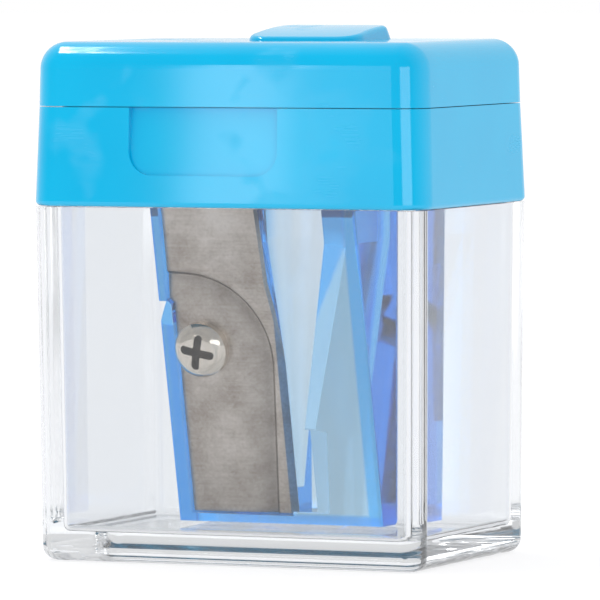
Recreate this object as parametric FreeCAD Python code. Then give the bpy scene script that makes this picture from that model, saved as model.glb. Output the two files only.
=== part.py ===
import FreeCAD, Part
import math
import os
from FreeCAD import Vector

# Hand-held canister pencil sharpener. Millimetres, +Z up, origin at the middle of the base.
# -Y is the front with the thumb recess, +Y is the hinge side.

# Pencil bore: where its axis stands, the straight guide and the cone that shapes the point
axis_x = 1.25
axis_y = 1.07
bore_radius = 4.1
tip_radius = 0.6
cone_angle = 12.0
guide_relief = 0.3

# Blade of a small wedge sharpener
blade_length = 24.0
blade_width = 8.05
blade_thickness = 0.65
blade_shoulder = 0.35
shoulder_height = 15.6
upper_setback = 1.2
setback_start = 11.0
setback_end = 17.0
setback_share = 0.7
setback_bulge = 0.12
blade_hole_clearance = 0.1
bevel_width = 0.35
edge_thickness = 0.08
ridge_inset = 0.6
hollow_width = 2.8
hollow_depth = 0.25
hollow_radius = 6.6
hollow_turn_height = 10.9
hollow_sweep = 90.0
hollow_ease = 0.25
hollow_tilt = 3.5

# Blade screw
screw_inset = 2.0
screw_height = 12.25
screw_head_radius = 2.0
screw_head_height = 1.3
screw_head_rim = 0.7
dome_reach_share = 0.72
dome_rise_share = 0.78
screw_shank_radius = 1.0
screw_length = 5.0
screw_tip = 0.5
screw_hole_clearance = 0.02
recess_arm = 0.6
recess_span = 1.3
recess_depth = 0.8
recess_turn = -12.0
lobe_share = 0.45

# Sharpener block
block_foot = 0.87
bed_depth = 1.1
bed_play = 0.06
bed_ledge = 0.4
left_wall = 1.1
right_wall = 2.85
back_wall = 1.4
side_flare = 0.85
tip_height = 2.6
block_head = 1.83
throat_head = 2.2
window_height = 6.95
window_foot = 0.9
window_width = 1.95
window_depth = 3.0
notch_depth = 0.66
notch_run = 1.6
block_edge = 0.25
spigot_wall = 0.9
spigot_stand = 0.8
spigot_clearance = 0.04

# Canister
floor_gap = 0.3
can_floor = 2.1
can_wall = 1.6
can_corner = 1.4
can_inner_corner = 0.6
can_taper = 0.27
foot_round = 1.1
inner_foot_round = 0.5
room_beside = 4.6
room_behind = 1.98
neck_inset = 0.8
neck_wall = 0.8
neck_height = 3.0
neck_clearance = 0.1

# Lid collar
collar_overhang = 0.2
collar_draft = 0.25
collar_corner = 2.1
collar_wall = 2.0
collar_edge = 0.35
seat_gap = 0.05
deck_thickness = 1.2
well_depth = 2.85
well_corner = 1.2
lip_thickness = 0.7
lip_height = 1.1
lip_clearance = 0.12
recess_width = 11.6
recess_height = 4.82
recess_corner = 1.75
recess_top_depth = 0.5
recess_foot_depth = 0.16
recess_x = -1.5

# Flip cover
seam_gap = 0.06
cover_height = 4.65
cover_draft = 0.1
cover_top = 1.3
cover_round = 1.95
seal_clearance = 0.4
seal_wall = 0.7
seal_reach = 0.4
pad_width = 8.3
pad_depth = 6.8
pad_right = 0.95
pad_behind = 1.0
pad_draft = 0.5
pad_corner = 1.6
pad_front = 0.2
pad_rise = 0.85
pad_bulge = 0.18
pad_round = 0.4

# Hinge at the rear of the lid
hinge_gap = 0.15
barrel_radius = 1.3
pin_radius = 0.6
pin_grip = 0.01
pin_play = 0.05
knuckle_width = 7.6
knuckle_gap = 0.15
ear_width = 3.4
ear_gusset = 2.4
pin_end_chamfer = 0.15

# Length of cutting shapes that run out of the part
reach = 60.0

# Heights, from the base up
block_bottom = can_floor + floor_gap
tip_z = block_bottom + tip_height
slope = math.radians(cone_angle)
blade_rise = blade_length * math.cos(slope)
blade_foot_z = block_bottom + block_foot
blade_top_z = blade_foot_z + blade_rise
deck_under = blade_top_z + block_head
shoulder_z = deck_under - neck_clearance - neck_height
deck_over = deck_under + deck_thickness
seam_z = deck_over + well_depth
cover_z = seam_z + cover_height
spigot_top = deck_over + spigot_stand
relief_radius = bore_radius + guide_relief
cone_top_z = tip_z + (relief_radius - tip_radius) / math.tan(slope)
throat_z = deck_under - throat_head

# Block and canister plan
cutting_x = axis_x
block_left = cutting_x - blade_width - left_wall
block_right = axis_x + bore_radius + right_wall
block_back = axis_y + bore_radius + back_wall
can_width = 2 * (block_right + side_flare + room_beside + can_wall)
can_depth = 2 * (block_back + room_behind + can_wall)
collar_width = can_width + 2 * collar_overhang
collar_depth = can_depth + 2 * collar_overhang
seam_width = collar_width - 2 * collar_draft
seam_depth = collar_depth - 2 * collar_draft
well_width = seam_width - 2 * collar_wall
well_breadth = seam_depth - 2 * collar_wall
lip_width = well_width + 2 * lip_thickness
lip_breadth = well_breadth + 2 * lip_thickness
neck_width = can_width - 2 * neck_inset
neck_depth = can_depth - 2 * neck_inset
spigot_radius = bore_radius + spigot_wall
hinge_y = seam_depth / 2 + barrel_radius + hinge_gap

# Blade frame: u across to the cutting edge, v up the slope, w out of the block's front.
# Its origin is on the cone's foremost line, at the cone's narrow end.
blade_frame = FreeCAD.Placement(FreeCAD.Matrix(
    1, 0, 0, axis_x,
    0, -math.sin(slope), -math.cos(slope), axis_y - tip_radius,
    0, math.cos(slope), -math.sin(slope), tip_z,
    0, 0, 0, 1))
blade_v0 = (blade_foot_z - tip_z) / math.cos(slope)
blade_v1 = blade_v0 + blade_length


def rounded_outline(width, depth, corner, height):
    """Rectangle with round corners, centred on the Z axis."""
    half_x = width / 2 - corner
    half_y = depth / 2 - corner
    turns = ((half_x, half_y, 0), (-half_x, half_y, 90), (-half_x, -half_y, 180), (half_x, -half_y, 270))
    arcs = []
    for x, y, start in turns:
        arcs.append(Part.makeCircle(corner, Vector(x, y, height), Vector(0, 0, 1), start, start + 90))
    sides = []
    for arc, following in zip(arcs, arcs[1:] + arcs[:1]):
        sides.append(Part.makeLine(arc.valueAt(arc.LastParameter), following.valueAt(following.FirstParameter)))
    ordered = [edge for pair in zip(arcs, sides) for edge in pair]
    return Part.Wire(ordered)


def tapered(size_low, size_high, corner, low, high):
    """Drafted block with round upright corners, between two sizes given as (width, depth)."""
    half_low = [side / 2 for side in size_low]
    half_high = [side / 2 for side in size_high]
    body = Part.makeWedge(-half_low[0], low, -half_low[1], -half_high[1], -half_high[0],
                          half_low[0], high, half_low[1], half_high[1], half_high[0])
    body.rotate(Vector(0, 0, 0), Vector(1, 0, 0), 90)
    upright = [edge for edge in body.Edges if abs(edge.Vertexes[0].Z - edge.Vertexes[1].Z) > (high - low) / 2]
    return body.makeFillet(corner, upright)


def straight(width, depth, corner, low, high):
    face = Part.Face(rounded_outline(width, depth, corner, low))
    return face.extrude(Vector(0, 0, high - low))


def prism(points, direction):
    outline = [Vector(*point) for point in points]
    face = Part.Face(Part.makePolygon(outline + outline[:1]))
    return face.extrude(direction)


def box(low, high):
    size = [b - a for a, b in zip(low, high)]
    return Part.makeBox(size[0], size[1], size[2], Vector(*low))


def level_edges(shape, height):
    """Edges that lie flat at one height."""
    near = 1e-4
    return [edge for edge in shape.Edges if all(abs(v.Z - height) < near for v in edge.Vertexes)]


def in_blade_frame(shape):
    moved = shape.copy()
    moved.Placement = blade_frame.multiply(shape.Placement)
    return moved


def make_canister():
    foot_width = can_width - 2 * can_taper
    foot_depth = can_depth - 2 * can_taper
    outer = tapered((foot_width, foot_depth), (can_width, can_depth), can_corner, 0, shoulder_z)
    outer = outer.makeFillet(foot_round, level_edges(outer, 0))
    neck_top = shoulder_z + neck_height
    neck = straight(neck_width, neck_depth, can_corner - neck_inset, shoulder_z, neck_top)
    mouth = (neck_width - 2 * neck_wall, neck_depth - 2 * neck_wall)
    pit = (foot_width - 2 * can_wall, foot_depth - 2 * can_wall)
    hollow = tapered(pit, mouth, can_inner_corner, can_floor, neck_top)
    hollow = hollow.makeFillet(inner_foot_round, level_edges(hollow, can_floor))
    return outer.fuse(neck).cut(hollow).removeSplitter()


def thumb_recess():
    """U-shaped scoop in the collar's front, deep at the seam and shallow at its foot."""
    front = -collar_depth / 2
    seam_front = -seam_depth / 2
    low = seam_z - recess_height
    half = recess_width / 2
    turn = half - recess_corner
    above = seam_z + recess_height
    start = front - recess_height
    bend = recess_corner * math.sin(math.radians(45))
    left_mid = Vector(recess_x - turn - bend, start, low + recess_corner - bend)
    right_mid = Vector(recess_x + turn + bend, start, low + recess_corner - bend)
    corners = [Vector(recess_x - half, start, above), Vector(recess_x - half, start, low + recess_corner),
               Vector(recess_x - turn, start, low), Vector(recess_x + turn, start, low),
               Vector(recess_x + half, start, low + recess_corner), Vector(recess_x + half, start, above)]
    outline = Part.Wire([
        Part.makeLine(corners[0], corners[1]),
        Part.Arc(corners[1], left_mid, corners[2]).toShape(),
        Part.makeLine(corners[2], corners[3]),
        Part.Arc(corners[3], right_mid, corners[4]).toShape(),
        Part.makeLine(corners[4], corners[5]),
        Part.makeLine(corners[5], corners[0])])
    tongue = Part.Face(outline).extrude(Vector(0, reach, 0))
    foot_front = seam_front - collar_draft * recess_height / (seam_z - shoulder_z)
    deep = seam_front + recess_top_depth
    shallow = foot_front + recess_foot_depth
    lean = (deep - shallow) / recess_height
    side = recess_x - recess_width
    scoop = prism([(side, start, low), (side, shallow, low), (side, deep + lean * recess_height, above),
                   (side, start, above)], Vector(2 * recess_width, 0, 0))
    return tongue.common(scoop)


def barrel(x_low, x_high):
    return Part.makeCylinder(barrel_radius, x_high - x_low, Vector(x_low, hinge_y, seam_z), Vector(1, 0, 0))


def pin_hole(clearance):
    span = knuckle_width + 4 * ear_width
    return Part.makeCylinder(pin_radius + clearance, span, Vector(-span / 2, hinge_y, seam_z), Vector(1, 0, 0))


def hinge_ears():
    """Two knuckles on the collar, each carried by a gusset down its rear wall."""
    root = seam_depth / 2 - collar_wall / 2
    start = knuckle_width / 2 + knuckle_gap
    ears = []
    for x in (start, -start - ear_width):
        gusset = prism([(x, root, seam_z), (x, root, seam_z - ear_gusset), (x, seam_depth / 2, seam_z - ear_gusset),
                        (x, hinge_y + barrel_radius * math.sin(slope), seam_z - barrel_radius * math.cos(slope)),
                        (x, hinge_y, seam_z)], Vector(ear_width, 0, 0))
        ears.append(barrel(x, x + ear_width).fuse(gusset))
    return ears


def make_collar():
    foot_z = shoulder_z + seat_gap
    body = tapered((collar_width, collar_depth), (seam_width, seam_depth), collar_corner, foot_z, seam_z)
    body = body.makeFillet(collar_edge, level_edges(body, foot_z))
    lip = straight(lip_width, lip_breadth, well_corner + lip_thickness, deck_over, seam_z + lip_height)
    body = body.fuse([lip] + hinge_ears())
    pocket = straight(neck_width + 2 * neck_clearance, neck_depth + 2 * neck_clearance,
                      can_corner - neck_inset + neck_clearance, shoulder_z, deck_under)
    well = straight(well_width, well_breadth, well_corner, deck_over, seam_z + 2 * lip_height)
    hole = Part.makeCylinder(spigot_radius + spigot_clearance, 2 * deck_thickness,
                             Vector(axis_x, axis_y, deck_under - deck_thickness / 2))
    return body.cut([pocket, well, hole, thumb_recess(), pin_hole(pin_grip)]).removeSplitter()


def thumb_pad():
    """Low pad above the pencil hole, ramped up towards the hinge with a slight crown and drafted sides."""
    base = (pad_width + 2 * pad_draft, pad_depth + 2 * pad_draft)
    middle = Vector(axis_x + pad_right, axis_y + pad_behind, 0)
    front = middle.y - base[1] / 2
    back = middle.y + base[1] / 2
    left = middle.x - base[0] / 2
    root = cover_z - cover_top / 2
    low = cover_z + pad_front
    high = low + pad_rise
    crown = Vector(left, middle.y, (low + high) / 2 + pad_bulge)
    corners = [Vector(left, front, root), Vector(left, front, low), Vector(left, back, high), Vector(left, back, root)]
    profile = Part.Wire([
        Part.makeLine(corners[0], corners[1]),
        Part.Arc(corners[1], crown, corners[2]).toShape(),
        Part.makeLine(corners[2], corners[3]),
        Part.makeLine(corners[3], corners[0])])
    ramp = Part.Face(profile).extrude(Vector(base[0], 0, 0))
    plan = tapered(base, (pad_width, pad_depth), pad_corner, root, high + pad_bulge)
    plan.translate(middle)
    pad = ramp.common(plan)
    rim = [edge for edge in pad.Edges if min(v.Z for v in edge.Vertexes) > cover_z]
    return pad.makeFillet(pad_round, rim)


def make_cover():
    foot_z = seam_z + seam_gap
    head = (seam_width - 2 * cover_draft, seam_depth - 2 * cover_draft)
    body = tapered((seam_width, seam_depth), head, collar_corner, foot_z, cover_z)
    body = body.makeFillet(cover_round, level_edges(body, cover_z))
    ceiling = cover_z - cover_top
    inside = straight(lip_width + 2 * lip_clearance, lip_breadth + 2 * lip_clearance,
                      well_corner + lip_thickness + lip_clearance, foot_z - seam_gap, ceiling)
    body = body.cut(inside)
    seal_radius = spigot_radius + seal_clearance
    seal_foot = spigot_top - seal_reach
    centre = Vector(axis_x, axis_y, seal_foot)
    seal = Part.makeCylinder(seal_radius + seal_wall, ceiling + cover_top / 2 - seal_foot, centre)
    core = Part.makeCylinder(seal_radius, ceiling - seal_foot, centre)
    half = knuckle_width / 2
    root = seam_depth / 2 - cover_draft - collar_wall / 4
    web = box((-half, root, foot_z), (half, hinge_y, seam_z + barrel_radius))
    body = body.fuse([seal.cut(core), thumb_pad(), barrel(-half, half), web])
    return body.cut(pin_hole(pin_play)).removeSplitter()


def make_hinge_pin():
    half = knuckle_width / 2 + knuckle_gap + ear_width
    pin = Part.makeCylinder(pin_radius, 2 * half, Vector(-half, hinge_y, seam_z), Vector(1, 0, 0))
    rims = [edge for edge in pin.Edges if abs(abs(edge.BoundBox.Center.x) - half) < pin_end_chamfer]
    return pin.makeChamfer(pin_end_chamfer, rims)


def blade_outline():
    """Outline of the blade in its own frame: a left shoulder, and a right edge set back at the top."""
    left = -blade_width
    jog = blade_v0 + shoulder_height
    turn_low = Vector(0, blade_v0 + setback_start, 0)
    turn_high = Vector(-upper_setback * setback_share, blade_v0 + setback_end, 0)
    bend = (turn_low + turn_high) / 2 + Vector(setback_bulge, 0, 0)
    points = [Vector(0, blade_v0, 0), turn_low, turn_high, Vector(-upper_setback, blade_v1, 0),
              Vector(left - blade_shoulder, blade_v1, 0), Vector(left - blade_shoulder, jog + blade_shoulder, 0),
              Vector(left, jog, 0), Vector(left, blade_v0, 0)]
    edges = [Part.makeLine(points[0], points[1]), Part.Arc(turn_low, bend, turn_high).toShape()]
    for start, end in zip(points[2:], points[3:] + points[:1]):
        edges.append(Part.makeLine(start, end))
    return Part.Wire(edges)


def hollow_grind():
    """Hollow left by the grinding wheel: straight along the edge, then curling round to the left."""
    ridge = -ridge_inset
    turn = blade_v0 + hollow_turn_height
    top = blade_thickness
    centre = Vector(ridge - hollow_radius, turn, 0)
    lift = top + hollow_depth
    valley = Vector(ridge - hollow_depth, turn, top - hollow_depth)
    far = Vector(ridge - hollow_width, turn, top)
    ease = Vector((valley.x + far.x) / 2, turn, top - hollow_depth * hollow_ease)
    points = [far, Vector(far.x, turn, lift), Vector(ridge, turn, lift), Vector(ridge, turn, top), valley]
    sides = [Part.makeLine(a, b) for a, b in zip(points, points[1:])]
    face = Part.Face(Part.Wire(sides + [Part.Arc(valley, ease, far).toShape()]))
    run = face.extrude(Vector(0, blade_v0 - turn - blade_thickness, 0))
    curl = face.revolve(centre, Vector(0, 0, 1), hollow_sweep)
    face.rotate(centre, Vector(0, 0, 1), hollow_sweep)
    tail = face.extrude(Vector(-hollow_radius, 0, 0))
    grind = run.fuse([curl, tail])
    grind.rotate(Vector(ridge, turn, 0), Vector(0, 0, 1), -hollow_tilt)
    return grind


def edge_bevel():
    """Bevel ground along the straight part of the cutting edge."""
    top = blade_thickness
    low = blade_v0 - blade_thickness
    profile = [(-bevel_width, low, top), (blade_thickness, low, top), (blade_thickness, low, edge_thickness),
               (0, low, edge_thickness)]
    return prism(profile, Vector(0, blade_length + 2 * blade_thickness, 0))


def screw_place():
    return Vector(-blade_width + screw_inset, blade_v0 + screw_height, 0)


def make_blade():
    plate = Part.Face(blade_outline()).extrude(Vector(0, 0, blade_thickness))
    hole = Part.makeCylinder(screw_shank_radius + blade_hole_clearance, 3 * blade_thickness,
                             screw_place() - Vector(0, 0, blade_thickness))
    return in_blade_frame(plate.cut([hollow_grind(), edge_bevel(), hole]))


def make_screw():
    seat = screw_place() + Vector(0, 0, blade_thickness)
    rim = screw_head_rim
    radius = screw_head_radius
    dome_mid = Vector(radius * dome_reach_share, 0, rim + (screw_head_height - rim) * dome_rise_share)
    narrow = screw_shank_radius - screw_tip
    depth = -screw_length
    outline = [Vector(0, 0, depth), Vector(narrow, 0, depth), Vector(screw_shank_radius, 0, depth + screw_tip),
               Vector(screw_shank_radius, 0, 0), Vector(radius, 0, 0), Vector(radius, 0, rim)]
    edges = [Part.makeLine(a, b) for a, b in zip(outline, outline[1:])]
    crown = Vector(0, 0, screw_head_height)
    edges.append(Part.Arc(outline[-1], dome_mid, crown).toShape())
    edges.append(Part.makeLine(crown, outline[0]))
    body = Part.Face(Part.Wire(edges)).revolve(Vector(0, 0, 0), Vector(0, 0, 1), 360)
    low = screw_head_height - recess_depth
    arm = box((-recess_span, -recess_arm / 2, low), (recess_span, recess_arm / 2, 2 * screw_head_height))
    arm = arm.makeFillet(recess_arm * lobe_share, [edge for edge in arm.Edges if edge.BoundBox.ZLength > low])
    cross = arm.copy()
    cross.rotate(Vector(0, 0, 0), Vector(0, 0, 1), 90)
    body = body.cut([arm, cross])
    body.rotate(Vector(0, 0, 0), Vector(0, 0, 1), recess_turn)
    body.translate(seat)
    return in_blade_frame(body)


def block_body():
    """Wedge with a sloped front, a plumb back and sides that flare a little towards the back."""
    rise = deck_under - block_bottom
    lean = rise * math.tan(slope)
    front = axis_y - tip_radius - bed_depth / math.cos(slope) + tip_height * math.tan(slope)
    flare = side_flare / (block_back - front + lean)
    back = block_back + lean
    spread = flare * (back - front)
    plan = [(block_left, front, block_bottom), (block_right, front, block_bottom),
            (block_right + spread, back, block_bottom), (block_left - spread, back, block_bottom)]
    body = prism(plan, Vector(0, -lean, rise))
    body = body.common(box((-reach, -reach, block_bottom), (reach, block_back, deck_under)))
    corners = [edge for edge in body.Edges if edge.BoundBox.ZLength > blade_rise / 2]
    return body.makeFillet(block_edge, corners)


def pencil_bore():
    """Close guide at the mouth, a relieved barrel below it and the cone, turned about the pencil's axis."""
    above = spigot_top + deck_thickness
    points = [Vector(0, 0, tip_z), Vector(tip_radius, 0, tip_z), Vector(relief_radius, 0, cone_top_z),
              Vector(relief_radius, 0, throat_z - guide_relief), Vector(bore_radius, 0, throat_z),
              Vector(bore_radius, 0, above), Vector(0, 0, above)]
    face = Part.Face(Part.makePolygon(points + points[:1]))
    bore = face.revolve(Vector(0, 0, 0), Vector(0, 0, 1), 360)
    bore.translate(Vector(axis_x, axis_y, 0))
    return bore


def throat():
    """Opening beside the cutting edge where shavings leave: the cone's right half, carried forward."""
    head = throat_z - guide_relief
    setback_z = blade_foot_z + setback_start * math.cos(slope)
    lean = (upper_setback - bed_ledge) * (head - setback_z) / (blade_top_z - setback_z)
    points = [(axis_x, axis_y, tip_z), (axis_x + tip_radius, axis_y, tip_z),
              (axis_x + relief_radius, axis_y, cone_top_z), (axis_x + relief_radius, axis_y, head),
              (axis_x - lean, axis_y, head), (axis_x, axis_y, setback_z)]
    return prism(points, Vector(0, -reach, 0))


def tip_window():
    """Window beside the blade's lower end that keeps the pencil's tip clear."""
    low = block_bottom + window_foot
    return box((cutting_x, -reach, low), (cutting_x + window_width, window_depth, block_bottom + window_height))


def blade_bed():
    """Flat seat for the blade: its left and lower walls hold the blade, and the right side is open."""
    left = -blade_width - bed_play
    jog = blade_v0 + shoulder_height
    low = blade_v0 - bed_play
    high = blade_v1 + bed_play
    points = [(0, low, 0), (0, high, 0), (left - blade_shoulder, high, 0),
              (left - blade_shoulder, jog + blade_shoulder, 0), (left, jog, 0), (left, low, 0)]
    return in_blade_frame(prism(points, Vector(0, 0, reach)))


def side_notch():
    """Step in the left side, sharp above and running out downwards."""
    jog_z = blade_foot_z + shoulder_height * math.cos(slope)
    outer = block_left - side_flare - notch_depth
    points = [(outer, -reach / 2, jog_z), (block_left + notch_depth, -reach / 2, jog_z),
              (block_left, -reach / 2, jog_z - notch_run), (outer, -reach / 2, jog_z - notch_run)]
    return prism(points, Vector(0, reach / 2 + axis_y, 0))


def make_block():
    spigot = Part.makeCylinder(spigot_radius, spigot_top - deck_under + block_edge,
                               Vector(axis_x, axis_y, deck_under - block_edge))
    shank = Part.makeCylinder(screw_shank_radius + screw_hole_clearance, screw_length,
                              screw_place() - Vector(0, 0, screw_length))
    body = block_body().fuse(spigot)
    cuts = [pencil_bore(), throat(), tip_window(), blade_bed(), in_blade_frame(shank), side_notch()]
    return body.cut(cuts).removeSplitter()


def main():
    os.makedirs("parts", exist_ok=True)
    pieces = {
        "canister": make_canister(),
        "lid_collar": make_collar(),
        "flip_cover": make_cover(),
        "hinge_pin": make_hinge_pin(),
        "sharpener_block": make_block(),
        "blade": make_blade(),
        "blade_screw": make_screw(),
    }
    for name, shape in pieces.items():
        solids = len(shape.Solids)
        low = shape.BoundBox
        print(name, "solids", solids, "valid", shape.isValid(), "volume", round(shape.Volume, 2),
              "box", [round(value, 2) for value in (low.XMin, low.YMin, low.ZMin, low.XMax, low.YMax, low.ZMax)])
        shape.exportStep(os.path.join("parts", name + ".step"))
    print("seam", round(seam_z, 3), "shoulder", round(shoulder_z, 3), "deck", round(deck_under, 3),
          "canister", round(can_width, 2), round(can_depth, 2), "hinge y", round(hinge_y, 3),
          "spigot top", round(spigot_top, 3))


main()
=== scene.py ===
# %% [markdown]
# # A canister pencil sharpener, dressed around its CAD frame
# The housing is a clear shavings canister under a blue two-level lid. A tinted wedge block with
# a ground blade hangs from the lid inside the canister. The CAD pieces already have their real
# shapes, so this lesson gives each one the surface that its material and process leave on it,
# then sets the studio and the camera.

# %% Load the frame and keep its size
import bpy
import math
from mathutils import Matrix, Vector

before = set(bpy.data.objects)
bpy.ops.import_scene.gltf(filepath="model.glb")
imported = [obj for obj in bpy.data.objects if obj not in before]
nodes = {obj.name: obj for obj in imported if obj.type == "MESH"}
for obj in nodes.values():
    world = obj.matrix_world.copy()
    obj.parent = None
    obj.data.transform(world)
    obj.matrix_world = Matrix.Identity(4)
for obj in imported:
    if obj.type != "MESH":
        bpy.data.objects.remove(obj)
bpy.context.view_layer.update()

# %% [markdown]
# ## Colours, sizes and one way to add a node
# Colours are read off as sRGB hex values, and a renderer adds light linearly, so one function
# turns them to linear. Patterns are given by their size in millimetres, and where one is too
# fine to show and is drawn coarser, its step says so. Every node in every material comes from
# one small function, so each material reads as a list of layers.

# %% Helpers for materials
def linear(hex_colour):
    """Linear RGBA of an sRGB hex colour."""
    channels = []
    for start in (1, 3, 5):
        value = int(hex_colour[start:start + 2], 16) / 255
        channels.append(value / 12.92 if value <= 0.04045 else ((value + 0.055) / 1.055) ** 2.4)
    return (*channels, 1.0)


def per_mm(size):
    """Texture scale whose features are about this many millimetres apart."""
    return 1000.0 / size


def mm(size):
    """Metres of a size in millimetres."""
    return size / 1000.0


def add(material, kind, inputs=None, **settings):
    """Adds a node: settings are its own fields, and inputs are values or sockets to link."""
    tree = material.node_tree
    node = tree.nodes.new(kind)
    for name, value in settings.items():
        setattr(node, name, value)
    for name, value in (inputs or {}).items():
        if isinstance(value, bpy.types.NodeSocket):
            tree.links.new(value, node.inputs[name])
        else:
            node.inputs[name].default_value = value
    return node


def start_material(name):
    """An empty node material, its output node and the object's own coordinates in metres."""
    material = bpy.data.materials.new(name)
    material.use_nodes = True
    material.node_tree.nodes.clear()
    output = add(material, "ShaderNodeOutputMaterial")
    place = add(material, "ShaderNodeTexCoord").outputs["Object"]
    return material, output, place


def dress(node, material):
    """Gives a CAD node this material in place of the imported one."""
    mesh = nodes[node].data
    mesh.materials.clear()
    mesh.materials.append(material)
    print("dressed", node, "with", material.name)


# %% [markdown]
# ## Canister: clear polystyrene, moulded in a polished tool
# Crystal-clear polystyrene bends light strongly, so the walls are nearly invisible and the
# corners and the thick floor gather thin bright and dark lines. The polished tool leaves a
# mirror gloss, and the plastic shrinks a little as it cools, which leaves the walls faintly
# wavy. A glass shader on the closed solid gives the lines from the shape itself. Its colour
# is a light grey, because the walls take a little light out on the way.

# %% Clear polystyrene
clear_ior = 1.59
wall_wave_mm = 5.0
wall_wave_height_mm = 0.012
wall_wave_stretch = (1.0, 1.0, 0.25)
handling_mm = 3.0
clear_roughness = (0.015, 0.05)
clear, clear_out, clear_place = start_material("clear_polystyrene_moulded_polished")
upright = add(clear, "ShaderNodeMapping", {"Vector": clear_place, "Scale": wall_wave_stretch})
waves = add(clear, "ShaderNodeTexNoise", {
    "Vector": upright.outputs["Vector"], "Scale": per_mm(wall_wave_mm),
    "Detail": 1.0, "Roughness": 0.4})
wavy = add(clear, "ShaderNodeBump", {
    "Height": waves.outputs["Fac"], "Strength": 0.5, "Distance": mm(wall_wave_height_mm)})
handling = add(clear, "ShaderNodeTexNoise", {
    "Vector": clear_place, "Scale": per_mm(handling_mm), "Detail": 3.0})
haze = add(clear, "ShaderNodeMapRange", {
    "Value": handling.outputs["Fac"], "From Min": 0.45, "From Max": 0.75,
    "To Min": clear_roughness[0], "To Max": clear_roughness[1]})
glass = add(clear, "ShaderNodeBsdfPrincipled", {
    "Base Color": linear("#eef0f2"), "Transmission Weight": 1.0, "IOR": clear_ior,
    "Roughness": haze.outputs["Result"], "Normal": wavy.outputs["Normal"]})
clear.node_tree.links.new(glass.outputs["BSDF"], clear_out.inputs["Surface"])
dress("canister", clear)

# %% [markdown]
# ## Lid: sky-blue polystyrene with a gloss finish
# Collar and flip cover come from the same coloured granules, so they share one material. The
# colour is solid through the wall, the gloss shows soft lamps as pale bands, and use leaves
# hair-fine scratches in patches. The scratches are stretched noise in the roughness and the
# bump, so they show mainly where a lamp is reflected, and they are drawn coarser than real
# ones, so that they show at all. Moulded faces are rarely flat: a slight crown, which is only
# in the bump, bends the reflected bands as a real face does.

# %% Colour of the lid
cloud_mm = 9.0
lid, lid_out, lid_place = start_material("sky_blue_polystyrene_moulded_gloss")
cloud = add(lid, "ShaderNodeTexNoise", {"Vector": lid_place, "Scale": per_mm(cloud_mm), "Detail": 2.0})
tint = add(lid, "ShaderNodeValToRGB", {"Fac": cloud.outputs["Fac"]})
tint.color_ramp.elements[0].position = 0.3
tint.color_ramp.elements[0].color = linear("#00aedd")
tint.color_ramp.elements[1].position = 0.75
tint.color_ramp.elements[1].color = linear("#02b6e4")
print("lid colour clouds", cloud_mm, "mm apart")

# %% Scratches and gloss of the lid
scratch_mm = 0.12
scratch_slant = math.radians(14.0)
scratch_stretch = (0.06, 0.3, 1.0)
worn_patch_mm = 4.0
lid_roughness = (0.10, 0.34)
slanted = add(lid, "ShaderNodeMapping", {
    "Vector": lid_place, "Rotation": (0.0, scratch_slant, 0.0), "Scale": scratch_stretch})
hairs = add(lid, "ShaderNodeTexNoise", {
    "Vector": slanted.outputs["Vector"], "Scale": per_mm(scratch_mm), "Detail": 2.0})
patches = add(lid, "ShaderNodeTexNoise", {
    "Vector": lid_place, "Scale": per_mm(worn_patch_mm), "Detail": 2.0})
worn = add(lid, "ShaderNodeMapRange", {
    "Value": patches.outputs["Fac"], "From Min": 0.55, "From Max": 0.7, "To Min": 0.0, "To Max": 1.0})
scratched = add(lid, "ShaderNodeMath", {
    0: hairs.outputs["Fac"], 1: worn.outputs["Result"]}, operation="MULTIPLY")
gloss = add(lid, "ShaderNodeMapRange", {
    "Value": scratched.outputs["Value"], "From Min": 0.0, "From Max": 0.7,
    "To Min": lid_roughness[0], "To Max": lid_roughness[1]})
print("scratches", scratch_mm, "mm apart in patches of", worn_patch_mm, "mm")

# %% Crown of the lid's faces, and the lid itself
lid_ior = 1.55
crown_slope = math.radians(3.0)
crown_half_mm = 15.0
scratch_depth_mm = 0.01
axes = add(lid, "ShaderNodeSeparateXYZ", {"Vector": lid_place})
squared = add(lid, "ShaderNodeMath", {0: axes.outputs["X"], 1: 2.0}, operation="POWER")
sunk = add(lid, "ShaderNodeMath", {
    0: squared.outputs["Value"], 1: -crown_slope / mm(crown_half_mm) / 2}, operation="MULTIPLY")
crown = add(lid, "ShaderNodeBump", {"Height": sunk.outputs["Value"], "Strength": 1.0, "Distance": 1.0})
skin = add(lid, "ShaderNodeBump", {
    "Height": scratched.outputs["Value"], "Strength": 0.15, "Distance": mm(scratch_depth_mm),
    "Normal": crown.outputs["Normal"]})
blue = add(lid, "ShaderNodeBsdfPrincipled", {
    "Base Color": tint.outputs["Color"], "Roughness": gloss.outputs["Result"], "IOR": lid_ior,
    "Normal": skin.outputs["Normal"]})
lid.node_tree.links.new(blue.outputs["BSDF"], lid_out.inputs["Surface"])
for piece in ("lid_collar", "flip_cover"):
    dress(piece, lid)
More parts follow.
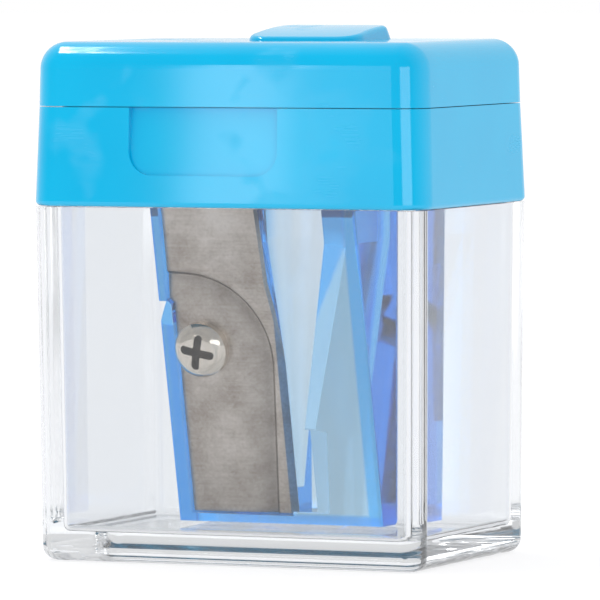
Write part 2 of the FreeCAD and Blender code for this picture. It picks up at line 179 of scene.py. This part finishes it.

# %% [markdown]
# ## Block: acrylic tinted blue through and through
# The dye takes red light out along the way, so faces look pale and long paths look deep blue.
# Absorption in the volume gives the pale faces, and is told in what a centimetre lets through.
# Dyed acrylic also pipes light along its walls and lets it out at the rims, which look deep
# and bright. Absorption alone left the rims of this small block too grey, so the piped light is
# painted: the rims, the foot and the side walls get a painted deeper blue by place, and the rims
# and the foot get a painted glow.

# %% Where the block's rims and walls are
left_rim_mm = (-6.95, -6.85)
right_rim_mm = (7.1, 7.3)
foot_rim_mm = (3.1, 3.25)
rim_depth = 0.6
foot_depth = 0.45
wall_depth = 0.55
wall_turn = (0.7, 0.85)
tinted, tinted_out, tinted_place = start_material("blue_tinted_acrylic_moulded")
surface_turn = add(tinted, "ShaderNodeTexCoord").outputs["Normal"]
facing = add(tinted, "ShaderNodeSeparateXYZ", {"Vector": surface_turn})
sideways = add(tinted, "ShaderNodeMath", {0: facing.outputs["X"]}, operation="ABSOLUTE")
wall = add(tinted, "ShaderNodeMapRange", {
    "Value": sideways.outputs["Value"], "From Min": wall_turn[0], "From Max": wall_turn[1],
    "To Min": 0.0, "To Max": wall_depth})
spot = add(tinted, "ShaderNodeSeparateXYZ", {"Vector": tinted_place})
left_rim = add(tinted, "ShaderNodeMapRange", {
    "Value": spot.outputs["X"], "From Min": mm(left_rim_mm[0]), "From Max": mm(left_rim_mm[1]),
    "To Min": rim_depth, "To Max": 0.0})
right_rim = add(tinted, "ShaderNodeMapRange", {
    "Value": spot.outputs["X"], "From Min": mm(right_rim_mm[0]), "From Max": mm(right_rim_mm[1]),
    "To Min": 0.0, "To Max": rim_depth})
foot_rim = add(tinted, "ShaderNodeMapRange", {
    "Value": spot.outputs["Z"], "From Min": mm(foot_rim_mm[0]), "From Max": mm(foot_rim_mm[1]),
    "To Min": foot_depth, "To Max": 0.0})
side_rims = add(tinted, "ShaderNodeMath", {
    0: left_rim.outputs["Result"], 1: right_rim.outputs["Result"]}, operation="MAXIMUM")
rims = add(tinted, "ShaderNodeMath", {
    0: side_rims.outputs["Value"], 1: foot_rim.outputs["Result"]}, operation="MAXIMUM")
piped = add(tinted, "ShaderNodeMath", {
    0: rims.outputs["Value"], 1: wall.outputs["Result"]}, operation="MAXIMUM")
print("rims at x", left_rim_mm, right_rim_mm, "and z", foot_rim_mm, "mm")

# %% Painted blue and painted glow of the block
glow_at_front = 0.24
glow_at_side = 0.02
frontal = add(tinted, "ShaderNodeMapRange", {
    "Value": sideways.outputs["Value"], "From Min": wall_turn[0], "From Max": wall_turn[1],
    "To Min": glow_at_front, "To Max": glow_at_side})
# Emission at the rims and the foot is a painted glow that stands in for piped light.
rim_painted_glow = add(tinted, "ShaderNodeMath", {
    0: rims.outputs["Value"], 1: frontal.outputs["Result"]}, operation="MULTIPLY")
# The ramp paints the rims, the foot and the side walls a deeper blue, as painted piped light.
piped_light_painted_blue = add(tinted, "ShaderNodeValToRGB", {"Fac": piped.outputs["Value"]})
piped_light_painted_blue.color_ramp.elements[0].color = linear("#f2f8fd")
piped_light_painted_blue.color_ramp.elements[1].color = linear("#2f9dea")
piped_light_painted_blue.color_ramp.elements.new(rim_depth).color = linear("#45aef4")
print("strongest glow", round(rim_depth * glow_at_front, 3))

# %% Tinted acrylic
block_ior = 1.49
block_roughness = (0.03, 0.10)
flow_mm = 2.5
ripple_height_mm = 0.015
centimetre = 0.01
passed_at_centimetre = (0.44, 0.76, 0.98)
dye_depth = 320.0
flow = add(tinted, "ShaderNodeTexNoise", {
    "Vector": tinted_place, "Scale": per_mm(flow_mm), "Detail": 2.0})
polish = add(tinted, "ShaderNodeMapRange", {
    "Value": flow.outputs["Fac"], "From Min": 0.3, "From Max": 0.7,
    "To Min": block_roughness[0], "To Max": block_roughness[1]})
ripple = add(tinted, "ShaderNodeBump", {
    "Height": flow.outputs["Fac"], "Strength": 0.4, "Distance": mm(ripple_height_mm)})
see_through = add(tinted, "ShaderNodeBsdfPrincipled", {
    "Base Color": piped_light_painted_blue.outputs["Color"], "Transmission Weight": 1.0, "IOR": block_ior,
    "Emission Color": linear("#14a4ea"), "Emission Strength": rim_painted_glow.outputs["Value"],
    "Roughness": polish.outputs["Result"], "Normal": ripple.outputs["Normal"]})
# A metre of the volume absorbs its density times one minus its colour.
dye_colour = [1.0 + math.log(share) / (centimetre * dye_depth) for share in passed_at_centimetre]
dye = add(tinted, "ShaderNodeVolumeAbsorption", {"Color": (*dye_colour, 1.0), "Density": dye_depth})
tinted.node_tree.links.new(see_through.outputs["BSDF"], tinted_out.inputs["Surface"])
tinted.node_tree.links.new(dye.outputs["Volume"], tinted_out.inputs["Volume"])
dress("sharpener_block", tinted)

# %% [markdown]
# ## Blade: carbon steel, hardened and ground
# A surface grinder crosses the blade, so its marks lie flat across the width, and hardening
# leaves brown-grey clouds and a fine grain. All three go into the colour and the roughness of
# a satin metal, and the marks into its bump. The marks are drawn coarser than real grinding
# marks, so that they show. The colour is a little lighter near the blade's top.

# %% Marks, clouds and grain of the blade
grind_mm = 0.13
steel_cloud_mm = 2.4
grain_mm = 0.22
grind_stretch = (0.03, 1.0, 1.0)
cloud_share = 0.5
grain_share = 0.35
grind_share = 0.15
lighter_from_mm = 22.0
lighter_to_mm = 24.5
lighter_by = 0.10
steel, steel_out, steel_place = start_material("carbon_steel_hardened_ground")
across = add(steel, "ShaderNodeMapping", {"Vector": steel_place, "Scale": grind_stretch})
marks = add(steel, "ShaderNodeTexNoise", {
    "Vector": across.outputs["Vector"], "Scale": per_mm(grind_mm), "Detail": 3.0})
clouds = add(steel, "ShaderNodeTexNoise", {
    "Vector": steel_place, "Scale": per_mm(steel_cloud_mm), "Detail": 3.0, "Roughness": 0.5})
grain = add(steel, "ShaderNodeTexNoise", {
    "Vector": steel_place, "Scale": per_mm(grain_mm), "Detail": 4.0, "Roughness": 0.7})
level = add(steel, "ShaderNodeSeparateXYZ", {"Vector": steel_place})
lighter = add(steel, "ShaderNodeMapRange", {
    "Value": level.outputs["Z"], "From Min": mm(lighter_from_mm), "From Max": mm(lighter_to_mm),
    "To Min": 0.0, "To Max": lighter_by})
clouded = add(steel, "ShaderNodeMath", {
    0: clouds.outputs["Fac"], 1: cloud_share, 2: lighter.outputs["Result"]}, operation="MULTIPLY_ADD")
grained = add(steel, "ShaderNodeMath", {
    0: grain.outputs["Fac"], 1: grain_share, 2: clouded.outputs["Value"]}, operation="MULTIPLY_ADD")
lined = add(steel, "ShaderNodeMath", {
    0: marks.outputs["Fac"], 1: grind_share, 2: grained.outputs["Value"]}, operation="MULTIPLY_ADD")
print("grinding marks", grind_mm, "mm, clouds", steel_cloud_mm, "mm, grain", grain_mm, "mm apart")

# %% [markdown]
# ## Painted shade in the hollow beside the J-line
# Shade is painted into the colour along the hollow that the wheel grinds up to the ridge that
# draws the J, with a painted light line at the ridge. The path is a straight run, a quarter turn
# and a straight tail. Measured from the turn's centre, with nothing below zero, the distance to a
# point is the ridge's radius all along the J, so one length gives the whole path. A ramp over it
# holds the share of light that each place keeps, which is painted shade and painted light.

# %% Painted shade in the hollow
ridge_turn_mm = (0.65, 0.0, 13.8)
ridge_radius_mm = 6.6
ridge_tilt = math.radians(-3.5)
hollow_outside_mm = 0.6
hollow_inside_mm = 3.0
# Shares of light kept: below one is painted shade, and the step up to one at the ridge is a painted
# light line.
kept_at_ends = (0.92, 0.95)
kept_between = ((0.08, 1.0), (0.16, 0.95), (0.20, 0.70), (0.32, 0.60), (0.55, 0.78))
from_turn = add(steel, "ShaderNodeVectorMath", {
    0: steel_place, 1: tuple(mm(v) for v in ridge_turn_mm)}, operation="SUBTRACT")
untilted = add(steel, "ShaderNodeMapping", {
    "Vector": from_turn.outputs["Vector"], "Rotation": (0.0, ridge_tilt, 0.0),
    "Location": (mm(ridge_radius_mm), 0.0, 0.0)})
flat = add(steel, "ShaderNodeVectorMath", {
    0: untilted.outputs["Vector"], 1: (1.0, 0.0, 1.0)}, operation="MULTIPLY")
beyond = add(steel, "ShaderNodeVectorMath", {
    0: flat.outputs["Vector"], 1: (0.0, 0.0, 0.0)}, operation="MAXIMUM")
reach = add(steel, "ShaderNodeVectorMath", {0: beyond.outputs["Vector"]}, operation="LENGTH")
into_hollow = add(steel, "ShaderNodeMapRange", {
    "Value": reach.outputs["Value"], "From Min": mm(ridge_radius_mm + hollow_outside_mm),
    "From Max": mm(ridge_radius_mm - hollow_inside_mm), "To Min": 0.0, "To Max": 1.0})
hollow_painted_shade = add(steel, "ShaderNodeValToRGB", {"Fac": into_hollow.outputs["Result"]})
for end, kept in enumerate(kept_at_ends):
    hollow_painted_shade.color_ramp.elements[end].position = float(end)
    hollow_painted_shade.color_ramp.elements[end].color = (kept, kept, kept, 1.0)
for share, kept in kept_between:
    hollow_painted_shade.color_ramp.elements.new(share).color = (kept, kept, kept, 1.0)
print("hollow from", -hollow_outside_mm, "to", hollow_inside_mm, "mm inside the ridge")

# %% Ground blade steel
stain_range = (0.34, 0.68)
blade_roughness = (0.42, 0.28)
furrow_depth_mm = 0.012
stain = add(steel, "ShaderNodeValToRGB", {"Fac": lined.outputs["Value"]})
stain.color_ramp.elements[0].position = stain_range[0]
stain.color_ramp.elements[0].color = linear("#9a8c7f")
stain.color_ramp.elements[1].position = stain_range[1]
stain.color_ramp.elements[1].color = linear("#d8cfc6")
# The steel's stains are multiplied by the painted shade and painted light line of the hollow.
toned = add(steel, "ShaderNodeVectorMath", {
    0: stain.outputs["Color"], 1: hollow_painted_shade.outputs["Color"]}, operation="MULTIPLY")
satin = add(steel, "ShaderNodeMapRange", {
    "Value": lined.outputs["Value"], "From Min": stain_range[0], "From Max": stain_range[1],
    "To Min": blade_roughness[0], "To Max": blade_roughness[1]})
furrows = add(steel, "ShaderNodeBump", {
    "Height": marks.outputs["Fac"], "Strength": 0.6, "Distance": mm(furrow_depth_mm)})
blade_metal = add(steel, "ShaderNodeBsdfPrincipled", {
    "Base Color": toned.outputs["Vector"], "Metallic": 1.0, "Roughness": satin.outputs["Result"],
    "Normal": furrows.outputs["Normal"]})
steel.node_tree.links.new(blade_metal.outputs["BSDF"], steel_out.inputs["Surface"])
dress("blade", steel)

# %% [markdown]
# ## Screw: steel with a bright nickel plate
# Barrel plating gives a warm mirror with fine dings from the other screws in the barrel. Shade
# is painted dark into the cross recess. The recess is where a point is both low
# under the head's top and near its axis, so the height along the axis and the distance from
# it, both measured from the screw's seat on the blade, find it. The shank, inside the block,
# meets both limits too and gets the same painted shade.

# %% Painted shade in the recess
seat_mm = (-4.8, -2.345, 15.117)
head_tilt = math.radians(12.0)
head_axis = (0.0, -math.cos(head_tilt), -math.sin(head_tilt))
painted_shade_height_mm = (0.75, 1.2)
painted_shade_radius_mm = (1.45, 1.6)
nickel, nickel_out, nickel_place = start_material("steel_nickel_plated_barrel")
from_seat = add(nickel, "ShaderNodeVectorMath", {
    0: nickel_place, 1: tuple(mm(v) for v in seat_mm)}, operation="SUBTRACT")
height = add(nickel, "ShaderNodeVectorMath", {
    0: from_seat.outputs["Vector"], 1: head_axis}, operation="DOT_PRODUCT")
off_axis = add(nickel, "ShaderNodeVectorMath", {
    0: from_seat.outputs["Vector"], 1: head_axis}, operation="CROSS_PRODUCT")
radius = add(nickel, "ShaderNodeVectorMath", {0: off_axis.outputs["Vector"]}, operation="LENGTH")
sunken = add(nickel, "ShaderNodeMapRange", {
    "Value": height.outputs["Value"], "From Min": mm(painted_shade_height_mm[0]),
    "From Max": mm(painted_shade_height_mm[1]), "To Min": 1.0, "To Max": 0.0})
inside = add(nickel, "ShaderNodeMapRange", {
    "Value": radius.outputs["Value"], "From Min": mm(painted_shade_radius_mm[0]),
    "From Max": mm(painted_shade_radius_mm[1]), "To Min": 1.0, "To Max": 0.0})
# Where both limits meet, the colour gets painted shade.
recess_painted_shade = add(nickel, "ShaderNodeMath", {
    0: sunken.outputs["Result"], 1: inside.outputs["Result"]}, operation="MULTIPLY")
print("grime below", painted_shade_height_mm, "mm and within", painted_shade_radius_mm, "mm of the axis")

# %% Nickel plate
ding_mm = 0.5
ding_depth_mm = 0.02
plate_roughness = (0.06, 0.20)
dings = add(nickel, "ShaderNodeTexNoise", {
    "Vector": nickel_place, "Scale": per_mm(ding_mm), "Detail": 3.0})
dull = add(nickel, "ShaderNodeMapRange", {
    "Value": dings.outputs["Fac"], "From Min": 0.35, "From Max": 0.7,
    "To Min": plate_roughness[0], "To Max": plate_roughness[1]})
knocks = add(nickel, "ShaderNodeBump", {
    "Height": dings.outputs["Fac"], "Strength": 0.4, "Distance": mm(ding_depth_mm)})
# The plate's ramp runs from the nickel colour to a painted shade in the recess.
plate = add(nickel, "ShaderNodeValToRGB", {"Fac": recess_painted_shade.outputs["Value"]})
plate.color_ramp.elements[0].color = linear("#d8cfc2")
plate.color_ramp.elements[1].color = linear("#3a332c")
bright = add(nickel, "ShaderNodeBsdfPrincipled", {
    "Base Color": plate.outputs["Color"], "Metallic": 1.0, "Roughness": dull.outputs["Result"],
    "Normal": knocks.outputs["Normal"]})
nickel.node_tree.links.new(bright.outputs["BSDF"], nickel_out.inputs["Surface"])
dress("blade_screw", nickel)

# %% [markdown]
# ## Hinge pin: drawn steel wire
# Drawing through a die leaves lines along the wire, so the roughness is noise that is stretched
# along the pin. The lines of real wire are finer, and these are as coarse as they need to show.

# %% Drawn wire
draw_line_mm = 0.08
draw_stretch = (0.03, 1.0, 1.0)
wire_roughness = (0.18, 0.36)
wire, wire_out, wire_place = start_material("steel_wire_drawn")
along = add(wire, "ShaderNodeMapping", {"Vector": wire_place, "Scale": draw_stretch})
lines = add(wire, "ShaderNodeTexNoise", {
    "Vector": along.outputs["Vector"], "Scale": per_mm(draw_line_mm), "Detail": 2.0})
sheen = add(wire, "ShaderNodeMapRange", {
    "Value": lines.outputs["Fac"], "From Min": 0.3, "From Max": 0.7,
    "To Min": wire_roughness[0], "To Max": wire_roughness[1]})
drawn = add(wire, "ShaderNodeBsdfPrincipled", {
    "Base Color": linear("#bfbdba"), "Metallic": 1.0, "Roughness": sheen.outputs["Result"]})
wire.node_tree.links.new(drawn.outputs["BSDF"], wire_out.inputs["Surface"])
dress("hinge_pin", wire)

# %% [markdown]
# ## Studio: a light table, a light tent and soft lamps
# Clear plastic shows little but its surroundings, so the surroundings are chosen. The floor is
# plain and pale, and glows as a light table does, which keeps the ground white and shadows
# faint. It lies a hair below the canister's underside, so the two faces don't coincide.

# %% Floor
floor_half = 3.0
floor_drop_mm = 0.02
table_grain_mm = 0.6
table_glow = 0.82
table_roughness = 0.9
corners = [(-floor_half, -floor_half, 0.0), (floor_half, -floor_half, 0.0),
           (floor_half, floor_half, 0.0), (-floor_half, floor_half, 0.0)]
floor_mesh = bpy.data.meshes.new("floor")
floor_mesh.from_pydata(corners, [], [(0, 1, 2, 3)])
floor = bpy.data.objects.new("floor", floor_mesh)
floor.location.z = -mm(floor_drop_mm)
bpy.context.scene.collection.objects.link(floor)
table, table_out, table_place = start_material("opal_acrylic_light_table_matt")
speckle = add(table, "ShaderNodeTexNoise", {
    "Vector": table_place, "Scale": per_mm(table_grain_mm), "Detail": 3.0})
shade = add(table, "ShaderNodeValToRGB", {"Fac": speckle.outputs["Fac"]})
shade.color_ramp.elements[0].color = linear("#828283")
shade.color_ramp.elements[1].color = linear("#868687")
opal = add(table, "ShaderNodeBsdfPrincipled", {
    "Base Color": shade.outputs["Color"], "Roughness": table_roughness, "Specular IOR Level": 0.1,
    "Emission Color": linear("#fdfdfe"), "Emission Strength": table_glow})
table.node_tree.links.new(opal.outputs["BSDF"], table_out.inputs["Surface"])
floor_mesh.materials.append(table)
print("floor", 2 * floor_half, "m wide, glow", table_glow)

# %% [markdown]
# ## Light tent
# The world is a white tent. What mirrors it sees a dimmer front, as the dark of a studio behind
# the viewer, so gloss has contrast. What is seen through plastic is dimmer too, more so towards
# the front, so the clear walls show as light grey and the metal inside has shading.

# %% Light tent as the world
tent_strength = 1.0
front_lost_in_mirror = 0.82
front_lost_through_plastic = 0.38
rear_lost_through_plastic = 0.20
front_before_y = -0.5
rear_after_y = 0.4
world = bpy.data.worlds.new("light_tent")
bpy.context.scene.world = world
world.use_nodes = True
world.node_tree.nodes.clear()
sky_out = add(world, "ShaderNodeOutputWorld")
direction = add(world, "ShaderNodeTexCoord").outputs["Generated"]
split = add(world, "ShaderNodeSeparateXYZ", {"Vector": direction})
path = add(world, "ShaderNodeLightPath")
through = path.outputs["Is Transmission Ray"]
only_mirrored = add(world, "ShaderNodeMath", {
    0: path.outputs["Is Glossy Ray"], 1: through}, operation="SUBTRACT", use_clamp=True)
front_mirrored = add(world, "ShaderNodeMath", {
    0: only_mirrored.outputs["Value"], 1: -front_lost_in_mirror, 2: tent_strength},
    operation="MULTIPLY_ADD")
front_seen = add(world, "ShaderNodeMath", {
    0: through, 1: -front_lost_through_plastic, 2: front_mirrored.outputs["Value"]},
    operation="MULTIPLY_ADD")
rear_seen = add(world, "ShaderNodeMath", {
    0: through, 1: -rear_lost_through_plastic, 2: tent_strength}, operation="MULTIPLY_ADD")
depth = add(world, "ShaderNodeMapRange", {
    "Value": split.outputs["Y"], "From Min": front_before_y, "From Max": rear_after_y,
    "To Min": front_seen.outputs["Value"], "To Max": rear_seen.outputs["Value"]})
tent = add(world, "ShaderNodeBackground", {
    "Color": linear("#ffffff"), "Strength": depth.outputs["Result"]})
world.node_tree.links.new(tent.outputs[0], sky_out.inputs["Surface"])
print("tent", tent_strength, "front in mirrors", round(tent_strength - front_lost_in_mirror, 2))

# %% [markdown]
# ## Soft lamps
# Each lamp is there for a reflection. Three panels in front give the lid's face its pale band,
# the softer band beside it and the bright line on the corner. A strip overhead on the left
# gives the white streak on the cover's front edge. A lamp is told by its radiance, which is
# how bright it looks, so its power follows from its size.

# %% Lamps
lamp_aim_mm = 19.0


def softbox(name, azimuth, height, distance, width, tall, radiance):
    """Area lamp round the object, in metres: azimuth in degrees from the front, to the right."""
    swing = math.radians(azimuth)
    place = Vector((math.sin(swing) * distance, -math.cos(swing) * distance, height))
    lamp = bpy.data.lights.new(name, "AREA")
    lamp.shape = "RECTANGLE"
    lamp.size = width
    lamp.size_y = tall
    lamp.energy = radiance * math.pi * width * tall
    holder = bpy.data.objects.new(name, lamp)
    holder.location = place
    aim = Vector((0.0, 0.0, mm(lamp_aim_mm))) - place
    holder.rotation_euler = aim.to_track_quat("-Z", "Y").to_euler()
    holder.visible_camera = False
    bpy.context.scene.collection.objects.link(holder)
    print("lamp", name, "at", [round(v, 2) for v in place], round(lamp.energy, 2), "W")


softbox("panel_front_left", azimuth=-24.1, height=0.20, distance=1.2,
        width=0.10, tall=0.40, radiance=3.2)
softbox("panel_front_middle", azimuth=-18.6, height=0.20, distance=1.25,
        width=0.12, tall=0.40, radiance=0.8)
softbox("panel_front_right", azimuth=36.0, height=0.18, distance=1.3,
        width=0.86, tall=0.30, radiance=2.4)
softbox("strip_over_left", azimuth=-90.0, height=0.96, distance=0.565,
        width=0.60, tall=0.05, radiance=24.0)

# %% [markdown]
# ## Camera
# The picture was taken through a long lens, from about 24 degrees to the right of the front and
# a little above the middle. The focal length is in pixels of a 600 pixel wide frame, which
# gives the lens for Blender's 36 mm sensor.

# %% Camera
frame_px = 600.0
focal_px = 7000.0
view_azimuth = math.radians(24.26)
view_elevation = math.radians(3.02)
view_roll = math.radians(-0.28)
view_distance = mm(505.4)
view_aim = Vector((mm(1.227), mm(0.483), mm(18.512)))
lens = bpy.data.cameras.new("camera")
lens.sensor_width = 36.0
lens.lens = focal_px / frame_px * lens.sensor_width
lens.clip_start = 0.01
lens.clip_end = 50.0
camera = bpy.data.objects.new("camera", lens)
back = Vector((math.sin(view_azimuth) * math.cos(view_elevation),
               -math.cos(view_azimuth) * math.cos(view_elevation), math.sin(view_elevation)))
turn = (-back).to_track_quat("-Z", "Y").to_matrix() @ Matrix.Rotation(view_roll, 3, "Z")
camera.matrix_world = Matrix.Translation(view_aim + back * view_distance) @ turn.to_4x4()
bpy.context.scene.collection.objects.link(camera)
bpy.context.scene.camera = camera
print("lens mm", round(lens.lens, 1))

# %% [markdown]
# ## How light is followed
# Light that is turned back inside the clear walls counts as mirrored each time, so a path may
# need many bounces before it leaves. One that is cut off brings no light, so too few bounces
# would darken the corners. The plain view transform keeps white as white.

# %% Bounces and view transform
plastic_bounces = 32
scene = bpy.context.scene
scene.view_settings.view_transform = "Standard"
scene.cycles.max_bounces = plastic_bounces
scene.cycles.transmission_bounces = plastic_bounces
scene.cycles.glossy_bounces = plastic_bounces
print("bounces", plastic_bounces)
